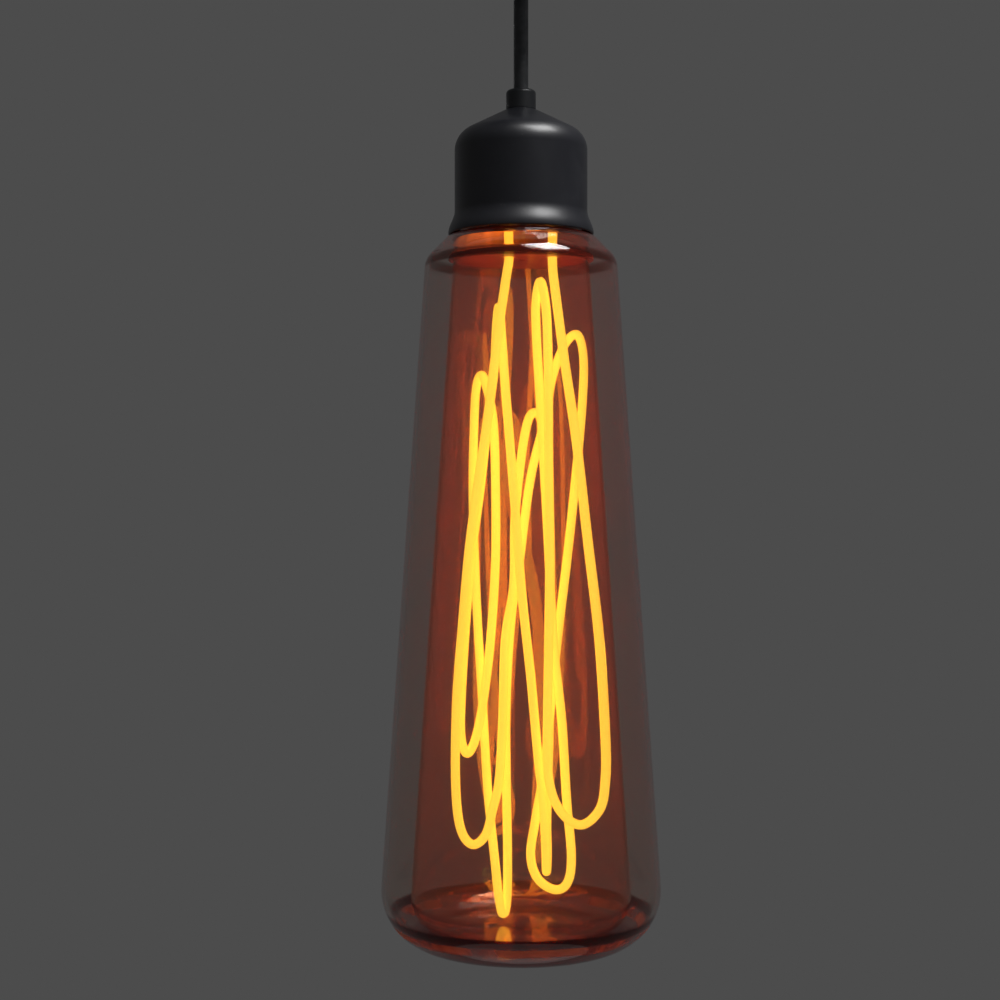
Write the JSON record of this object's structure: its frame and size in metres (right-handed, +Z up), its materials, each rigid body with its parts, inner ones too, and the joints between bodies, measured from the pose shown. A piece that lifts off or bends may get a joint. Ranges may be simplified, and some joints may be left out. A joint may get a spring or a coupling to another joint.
{
  "type": "pendant lamp with bulb",
  "caption": "Tall tapered smoked glass bulb with a looping filament, screwed into a black cup lampholder that hangs on a short cord from a round ceiling rose.",
  "frame": {"origin": "on the ceiling, at the centre of the rose's upper face", "axes": "+Z up into the ceiling, the lamp hangs along -Z; the picture looks along +Y; the ceiling screws lie along X"},
  "size_m": [0.1144, 0.1144, 0.4344],
  "materials": {
    "black_paint": "satin black paint",
    "zinc_steel": "zinc plated",
    "brass": "plain",
    "porcelain": "white glaze",
    "block_plastic": "ivory moulding",
    "grip_plastic": "black moulding",
    "cord_jacket": "smooth black sheath",
    "core_brown": "brown insulation",
    "core_blue": "blue insulation",
    "smoked_glass": "clear polish, smoke tint",
    "amber_glass": "clear polish, reddish amber tint",
    "clear_glass": "clear",
    "plate_enamel": "dark red, satin",
    "filament_glow": "glowing yellow sleeve",
    "cap_nickel": "rolled, bright",
    "contact_solder": "dull",
    "cap_glass": "black vitrite",
    "cement": "matte",
    "lead_wire": "drawn wire",
    "spring_steel": "drawn wire"
  },
  "bodies": {
    "ceiling_rose": {"rose_cover": "black_paint", "rose_bracket": "zinc_steel", "rose_side_screws": "black_paint", "rose_terminal_block": "block_plastic", "rose_terminals": "brass", "rose_terminal_screws": "zinc_steel", "rose_block_screws": "zinc_steel", "rose_nipple": "zinc_steel", "rose_lock_nut": "zinc_steel", "rose_cord_grip": "grip_plastic", "rose_cord_end": "cord_jacket", "rose_core_live": "core_brown", "rose_core_neutral": "core_blue"},
    "cord": {"pendant_cord": "cord_jacket"},
    "lampholder": {"cord_grip": "grip_plastic", "nipple": "zinc_steel", "lock_nut": "zinc_steel", "cup": "black_paint", "strap": "zinc_steel", "strap_screws": "zinc_steel", "lampholder_insert": "porcelain", "holder_shell": "brass", "contact_bush": "brass", "live_link": "brass", "neutral_rivet": "brass", "terminals": "brass", "terminal_screws": "zinc_steel", "lamp_cord_end": "cord_jacket", "core_live": "core_brown", "core_neutral": "core_blue"},
    "contact_plunger": {"contact_plunger": "brass", "contact_spring": "spring_steel"},
    "contact_button": {"contact_button": "contact_solder"},
    "bulb": {"cap_shell": "cap_nickel", "cap_insulator": "cap_glass", "cap_cement": "cement", "outer_glass": "smoked_glass", "inner_glass": "amber_glass", "glass_collar": "amber_glass", "stem": "clear_glass", "exhaust_tube": "clear_glass", "mount_plate": "plate_enamel", "ferrules": "brass", "lead_live": "lead_wire", "lead_neutral": "lead_wire", "filament": "filament_glow"}
  },
  "joints": [
    {"name": "pendulum_swing", "type": "hinge", "parent": "ceiling_rose", "child": "cord", "pos_m": [0, 0, -0.035], "axis": [0, 1, 0], "range_deg": [-15, 15]},
    {"name": "lamp_tilt", "type": "hinge", "parent": "cord", "child": "lampholder", "pos_m": [0, 0, -0.084], "axis": [1, 0, 0], "range_deg": [-15, 15]},
    {"name": "contact_press", "type": "slide", "parent": "lampholder", "child": "contact_plunger", "axis": [0, 0, 1], "range_m": [0, 0.0008], "stiffness_N_per_m": 2000, "springref_m": -0.0015, "deforming": ["contact_spring"]},
    {"name": "bulb_lift", "type": "slide", "parent": "lampholder", "child": "contact_button", "axis": [0, 0, -1], "range_m": [0, 0.0182]},
    {"name": "bulb_turn", "type": "hinge", "parent": "contact_button", "child": "bulb", "pos_m": [0, 0, -0.12], "axis": [0, 0, -1], "range_deg": [0, 1800]}
  ],
  "couplings": [
    {"joint": "bulb_lift", "follows": "bulb_turn", "m_per_rad": 0.00057757}
  ]
}
